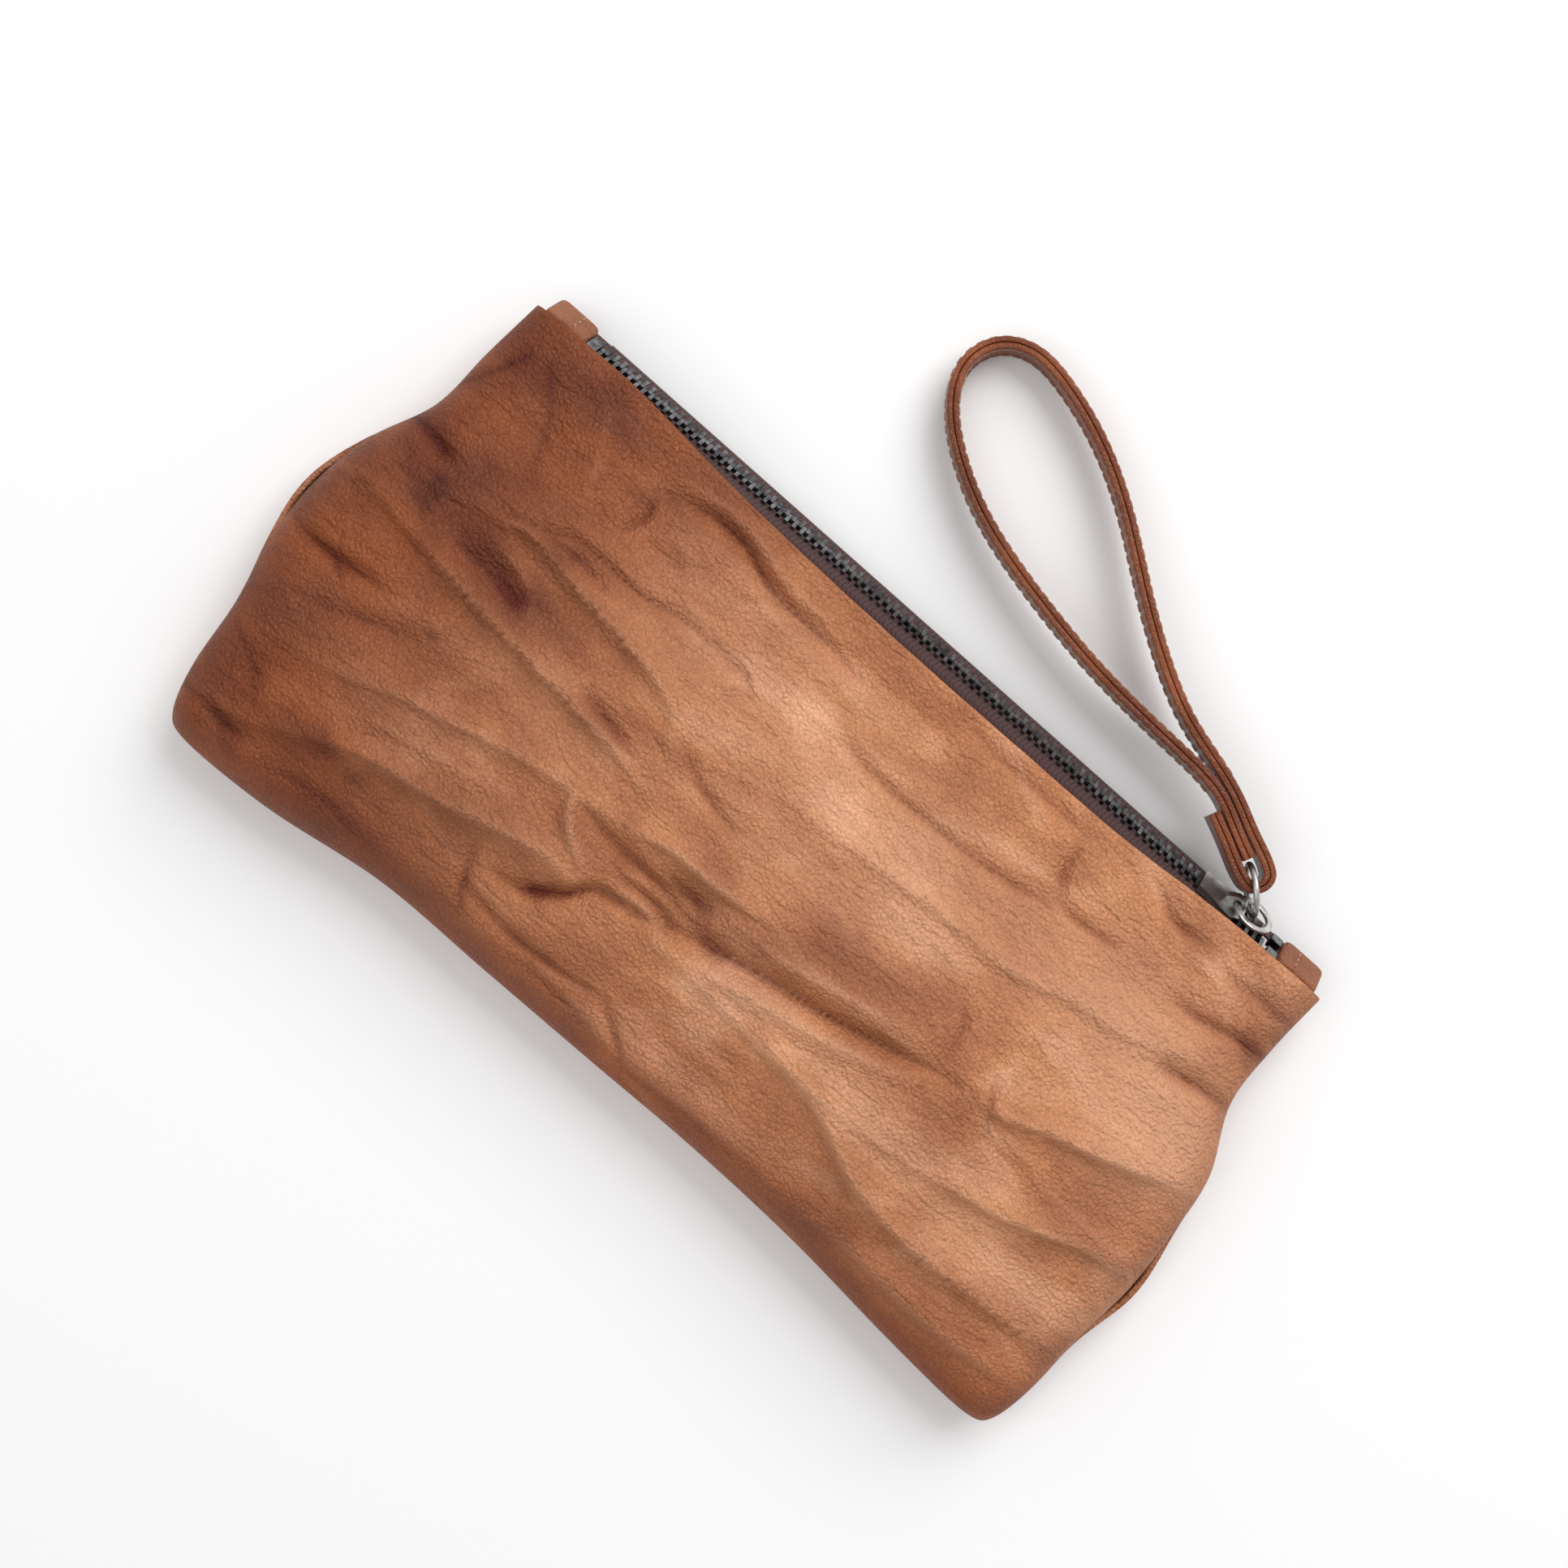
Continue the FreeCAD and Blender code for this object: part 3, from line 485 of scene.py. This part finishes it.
def ripples(x, y):
    """Slack leather: low crossing waves, drawn out along the pouch."""
    return (0.6 * np.sin(x / 31 + 0.6 * np.sin(y / 13)) * np.cos(y / 11 + 1.0)
            + 0.3 * np.sin((0.5 * x + 1.6 * y) / 9 + 2.1) * np.sin((1.3 * y - 0.2 * x) / 8)
            + 0.14 * np.sin((0.5 * x - y) / 4.1 + np.sin(x / 15)) * np.sin((0.4 * x + 1.4 * y) / 5.2))


# %% Front panel
FRONT_GRID = (288, 140)
CALM_EDGE = 14.0            # folds die out over this width beside the rim
CALM_MOUTH = 0.07           # and over this share of the depth beside the mouth
FOLD_GAIN = 1.12
PUCKER, PUCKER_WAVE, PUCKER_REACH = 0.35, 2.6, 6.0
s, v, x, y, edge, lift = panel_plan(*FRONT_GRID, True, 0.0)
dome = EDGE + CROWN * (1 - (2 * s - 1) ** 4) * np.sin(np.pi * np.clip(v, 0, 1)) ** 0.8
swell = dome * (1 - v ** 4) + MOUTH_RISE * v ** 4
inland = np.clip(edge / CALM_EDGE, 0, 1)
calm = inland * np.clip((1 - v) / CALM_MOUTH, 0, 1) ** 0.7
folds = pressed(x, y, FOLDS)
pucker = PUCKER * np.sin(x / PUCKER_WAVE + np.sin(y / 9)) * np.exp(-((1 - v) * DEPTH / PUCKER_REACH) ** 2)
z = SEAM + RIM_GAP + lift * (swell + calm * (FOLD_GAIN * folds + ripples(x, y)) + pucker * inland)
front = grid_mesh("front_leather", np.stack([x, y, z], -1) * MM)

# Stains lie along the hide, and their edges stray in small waves.
STAIN_LONG, STAIN_SHORT, STAIN_GAIN = 1.7, 0.8, 0.85
stain_and_shade = np.zeros_like(x)
stray_x = x + 3.0 * np.sin(y / 3.1) + 2.0 * np.sin(x / 4.3)
stray_y = y + 1.8 * np.sin(x / 4.7) + 1.0 * np.sin((x + y) / 2.3)
for (px, py), radius, strength in STAINS:
    gap = ((stray_x - px) / (STAIN_LONG * radius)) ** 2 + ((stray_y - py) / (STAIN_SHORT * radius)) ** 2
    stain_and_shade += STAIN_GAIN * strength * np.exp(-gap)
pale = np.zeros_like(x)
for (px, py), (wide, deep), strength in RUBBED_AND_HIGHLIT:
    pale += strength * np.exp(-((x - px) / wide) ** 2 - ((y - py) / deep) ** 2)

# Ridges get thin lines of painted highlight and creases thin lines of painted shade; fold tops are painted
# lighter and fold hollows darker.
LINE, FULL_FOLD, PALE_MOST = 0.8, 3.0, 0.7
HOLLOW_SHADE, CREASE_SHADE = 0.2, 0.45
HIGH_HIGHLIGHT, RIDGE_HIGHLIGHT = 0.15, 0.4
ridge_lines = pressed(x, y, [(fold[0], 1.0, LINE, 0) for fold in FOLDS if fold[1] > 0])
crease_lines = pressed(x, y, [(fold[0], 1.0, LINE, 0) for fold in FOLDS if fold[1] < 0])

# The hide's own tone is darker towards its left end; the darkening along the bottom and beside the rim is
# painted shade.
LEFT_TONE, LEFT_FROM, LEFT_SLANT, LEFT_REACH = 0.92, -24.0, 0.35, 84.0
LOW_SHADE, LOW_FROM, LOW_REACH = 0.7, -30.0, 30.0
RIM_SHADE, RIM_REACH = 0.4, 7.0
tone_and_shade = (LEFT_TONE * np.clip((LEFT_FROM - x + LEFT_SLANT * y) / LEFT_REACH, 0, 1)
         + LOW_SHADE * np.clip((LOW_FROM - y) / LOW_REACH, 0, 1))
hollow, high = np.clip(-folds / FULL_FOLD, 0, 1), np.clip(folds / FULL_FOLD, 0, 1)
paint(front, "stain_and_shade", np.clip(stain_and_shade + HOLLOW_SHADE * hollow + CREASE_SHADE * crease_lines, 0, 1))
paint(front, "tone_and_shade", np.clip(tone_and_shade + RIM_SHADE * np.exp(-(edge / RIM_REACH) ** 2), 0, 1))
paint(front, "rub_and_highlight", np.clip(pale + HIGH_HIGHLIGHT * high + RIDGE_HIGHLIGHT * ridge_lines, 0, PALE_MOST))


def thickened(obj, thickness):
    """Gives a sheet its leather thickness on the inner side."""
    wall = obj.modifiers.new("thickness", "SOLIDIFY")
    wall.thickness = thickness
    wall.offset = -1.0
    wall.use_even_offset = False


thickened(front, LEATHER * MM)
front.data.materials.append(pouch_leather)
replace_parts(front, "front_panel")
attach(front, "pouch")

# %% Back panel
BACK_GRID = (150, 70)
# The back is darker overall, and darker still beside its rim.
BACK_RIM_DARK, BACK_REACH, BACK_SHADE = 0.12, 5.0, 0.35
BACK_PEEK = 2.2             # how far the back shows past the front
_, _, x, y, edge, lift = panel_plan(*BACK_GRID, False, BACK_PEEK)
z = SEAM - RIM_GAP - lift * (SEAM - RIM_GAP - REST)
back = grid_mesh("back_leather", np.stack([x, y, z], -1)[:, ::-1] * MM)
paint(back, "stain_and_shade", (BACK_RIM_DARK * np.exp(-(edge / BACK_REACH) ** 2))[:, ::-1])
paint(back, "tone_and_shade", np.full_like(x, BACK_SHADE))
paint(back, "rub_and_highlight", np.zeros_like(x))
thickened(back, LEATHER * MM)
back.data.materials.append(pouch_leather)
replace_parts(back, "back_panel")
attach(back, "pouch")

# %% [markdown]
# The strap is two strips of firm leather sewn together, standing on edge. Its line starts at
# the cut end between the runs, goes round the loop, comes back and folds round the ring.

# %% Strap line
joints = {j["name"]: j for j in frame["record"]["behaviour"]["joints"]}
ring_far = np.array(joints["strap_swing"]["pos_m"]) / MM
LAYER, WIDTH, GAP, HOLE = 1.5, 9.0, 0.3, 3.1
RING_OUTER, WIRE, CLEAR = 13.6, 1.5, 0.7
RING_R = (RING_OUTER - WIRE) / 2
TOGETHER, TAIL, FLOOR = 16.0, 17.0, 0.2
RUN_IN, STRAP_STEPS = 3.0, 900
HEADING = math.radians(155.0)
LOOP = [(62.0, 88.6), (47.4, 89.2), (32.0, 90.4), (17.5, 92.6), (3.0, 95.6), (-13.2, 100.6), (-25.9, 107.3),
        (-35.4, 115.5), (-39.7, 125.5), (-36.6, 134.0), (-29.6, 137.9), (-18.3, 137.2), (-5.3, 133.2),
        (5.6, 128.0), (16.8, 120.9), (28.2, 112.6), (44.0, 102.2), (58.0, 95.4)]
run = np.array([math.cos(HEADING), math.sin(HEADING)])
side = np.array([run[1], -run[0]])
fold_r = max(2 * LAYER + GAP, HOLE / 2 + LAYER)
seat = RING_R - math.sqrt((RING_R - WIRE / 2) ** 2 - (WIDTH / 2) ** 2) + CLEAR - HOLE / 2
fold = ring_far[:2] - run * seat
cut = fold + run * (seat + WIRE / 2 + CLEAR)
turns = np.radians(np.arange(30, 180, 30))
points = ([cut + run * TOGETHER * k / 2 for k in range(3)] + [np.array(p) for p in LOOP]
          + [fold + side * fold_r + run * d for d in (TOGETHER + RUN_IN, TOGETHER / 2, 0.0)]
          + [fold + side * fold_r * math.cos(t) - run * fold_r * math.sin(t) for t in turns]
          + [fold - side * fold_r + run * d for d in (0.0, TAIL / 2, TAIL)])


def chord_spline(points, count):
    """Cubic through points, timed by the chord between them, with smooth second slopes:
    the slopes solve one row of equations per point, as in a natural spline."""
    p = np.asarray(points, float)
    t = np.concatenate([[0], np.cumsum(np.linalg.norm(np.diff(p, axis=0), axis=1))])
    h = np.diff(t)
    n = len(p)
    m = np.eye(n)
    r = np.zeros_like(p)
    k = np.arange(1, n - 1)
    m[k, k - 1], m[k, k], m[k, k + 1] = h[:-1], 2 * (h[:-1] + h[1:]), h[1:]
    r[1:-1] = 6 * (np.diff(p, axis=0)[1:] / h[1:, None] - np.diff(p, axis=0)[:-1] / h[:-1, None])
    c = np.linalg.solve(m, r)
    q = np.linspace(0, t[-1], count)
    i = np.clip(np.searchsorted(t, q, side="right") - 1, 0, n - 2)
    a, b = (t[i + 1] - q)[:, None], (q - t[i])[:, None]
    hi = h[i][:, None]
    return ((c[i] * a ** 3 + c[i + 1] * b ** 3) / (6 * hi) + (p[i] / hi - c[i] * hi / 6) * a
            + (p[i + 1] / hi - c[i + 1] * hi / 6) * b)


line = chord_spline(points, STRAP_STEPS)
way = np.gradient(line, axis=0)
way /= np.linalg.norm(way, axis=1)[:, None]
normal = np.stack([-way[:, 1], way[:, 0]], 1)
low = ring_far[2] - WIDTH / 2
reach_to = line[np.argmax((line - ring_far[:2]) @ run)]
fall = reach_to - ring_far[:2]
droop = math.asin((low - FLOOR) / np.linalg.norm(fall))
fall = fall / np.linalg.norm(fall)


def lowered(p):
    """Turns points about the level axis through the ring, so the loop's far end comes down."""
    q = p - ring_far
    f = q[..., :2] @ fall
    rest = q[..., :2] - f[..., None] * fall
    c, s = math.cos(droop), math.sin(droop)
    new_f = f * c + q[..., 2] * s
    new_z = -f * s + q[..., 2] * c
    return np.concatenate([rest + new_f[..., None] * fall, new_z[..., None]], -1) + ring_far


# %% Strap layers
SECTION, SECTION_STEPS = 0.32, 40
APART, SHORT = 0.01, 0.02   # the leather stays this far inside its layer


def strap_layer(name, low_side, high_side):
    """Rounded strip: a superellipse section, as wide as the strap and one layer thick, carried
    along the strap's line and closed at both ends."""
    a = np.linspace(0, 2 * np.pi, SECTION_STEPS, endpoint=False)
    across = pull(np.cos(a), SECTION)
    up = pull(np.sin(a), SECTION * 0.5)
    mid, half = (low_side + high_side) / 2, (high_side - low_side) / 2 - APART
    scale = np.ones(len(line) + 2)
    scale[[0, -1]] = 0.0
    index = np.concatenate([[0], np.arange(len(line)), [len(line) - 1]])
    off = mid + half * across[None] * scale[:, None]
    plan = line[index][:, None] + normal[index][:, None] * off[..., None]
    height = low + WIDTH / 2 + (WIDTH / 2 - SHORT) * up[None] * scale[:, None]
    obj = grid_mesh(name, lowered(np.concatenate([plan, height[..., None]], -1)) * MM, wrap_v=True)
    obj.data.materials.append(strap_leather)
    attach(obj, "strap")
    return obj


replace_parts(strap_layer("strap_outer_leather", 0.0, LAYER), "strap_outer_layer")
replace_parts(strap_layer("strap_inner_leather", -LAYER, 0.0), "strap_inner_layer")

# %% [markdown]
# The zip ends are covered by small folded leather tabs. Each is a pillow-edged slab: a
# superellipsoid, which is a sphere whose sines and cosines are pulled out to round corners.

# %% End tabs
TILT = math.radians(54.0)
TAB_HALF = (6.0, 4.9, 2.6)   # along the zip, across the tapes, outward
SQUARE = 0.25               # 1 is a ball, 0 a block
TAB_STEPS = (40, 72)


def end_tab(name, node):
    """Rounded slab over the tab's solid: along the zip, across the tapes and outward."""
    low_c, high_c = (np.array(c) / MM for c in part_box(node))
    centre = (low_c + high_c) / 2
    rise = np.linspace(-np.pi / 2, np.pi / 2, TAB_STEPS[0])
    round_it = np.linspace(0, 2 * np.pi, TAB_STEPS[1], endpoint=False)
    a, b = np.meshgrid(rise, round_it, indexing="ij")
    along_zip = TAB_HALF[0] * pull(np.cos(a), SQUARE) * pull(np.cos(b), SQUARE)
    across = TAB_HALF[1] * pull(np.cos(a), SQUARE) * pull(np.sin(b), SQUARE)
    out = TAB_HALF[2] * pull(np.sin(a), SQUARE * 1.6)
    yy = across * math.cos(TILT) + out * math.sin(TILT)
    zz = -across * math.sin(TILT) + out * math.cos(TILT)
    obj = grid_mesh(name, (np.stack([along_zip, yy, zz], -1) + centre) * MM, wrap_v=True)
    obj.data.flip_normals()
    obj.data.materials.append(tab_leather)
    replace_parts(obj, node)
    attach(obj, "pouch")


end_tab("left_tab_leather", "left_end_tab")
end_tab("right_tab_leather", "right_end_tab")

# %% [markdown]
# The pouch lies on a pale table, seen straight from above. One large soft lamp stands to the
# upper right of the picture, a weaker one to its left, and an even sky fills the shadows.

# %% Floor, light and camera
def plain(name, colour, rough):
    mat, _, shader = nodes_of(name)
    shader.inputs["Base Color"].default_value = (*colour, 1)
    shader.inputs["Roughness"].default_value = rough
    return mat


TABLE_HALF, TABLE_Z = 3.0, -0.0004
ends = np.linspace(-TABLE_HALF, TABLE_HALF, 2)
corners = np.meshgrid(ends, ends, indexing="ij")
floor = grid_mesh("table", np.stack([*corners, np.full((2, 2), TABLE_Z)], -1))
floor.data.materials.append(plain("table_white", (0.93, 0.93, 0.93), rough=0.7))

# The picture's right and up, as ways in the pouch's frame.
RIGHT_WAY = np.array([0.748, 0.664, 0.0])
UP_WAY = np.array([-0.664, 0.748, 0.0])
SKY = 0.55


def lamp(name, right, up, high, size, power):
    """Soft square lamp aimed at the pouch, placed by the picture's right and up."""
    place = Vector((RIGHT_WAY * right + UP_WAY * up + np.array([0, 0, high])).tolist())
    data = bpy.data.lights.new(name, "AREA")
    data.size = size
    data.energy = power
    obj = bpy.data.objects.new(name, data)
    obj.location = place
    obj.rotation_euler = (-place).to_track_quat("-Z", "Y").to_euler()
    bpy.context.collection.objects.link(obj)


lamp("window", right=0.75, up=0.75, high=0.95, size=1.1, power=15.0)
lamp("fill", right=-0.8, up=-0.2, high=1.2, size=1.2, power=4.0)
world = bpy.data.worlds.new("soft_sky")
bpy.context.scene.world = world
world.use_nodes = True
world.node_tree.nodes["Background"].inputs["Color"].default_value = (1.0, 1.0, 1.0, 1)
world.node_tree.nodes["Background"].inputs["Strength"].default_value = SKY

CAMERA_HEIGHT, AIM = 0.58, (-0.005, 0.02)
SEEN_HALF, SEEN_Z = 0.1875, 0.012   # half width of the picture, at this height over the table
camera = bpy.data.objects.new("camera", bpy.data.cameras.new("camera"))
camera.data.sensor_fit = "HORIZONTAL"
camera.data.angle = 2 * math.atan(SEEN_HALF / (CAMERA_HEIGHT - SEEN_Z))
camera.data.clip_start = 0.01
camera.matrix_world = Matrix(((RIGHT_WAY[0], UP_WAY[0], 0, AIM[0]), (RIGHT_WAY[1], UP_WAY[1], 0, AIM[1]),
                              (0, 0, 1, CAMERA_HEIGHT), (0, 0, 0, 1)))
bpy.context.collection.objects.link(camera)
bpy.context.scene.camera = camera
bpy.context.scene.view_settings.view_transform = "Standard"
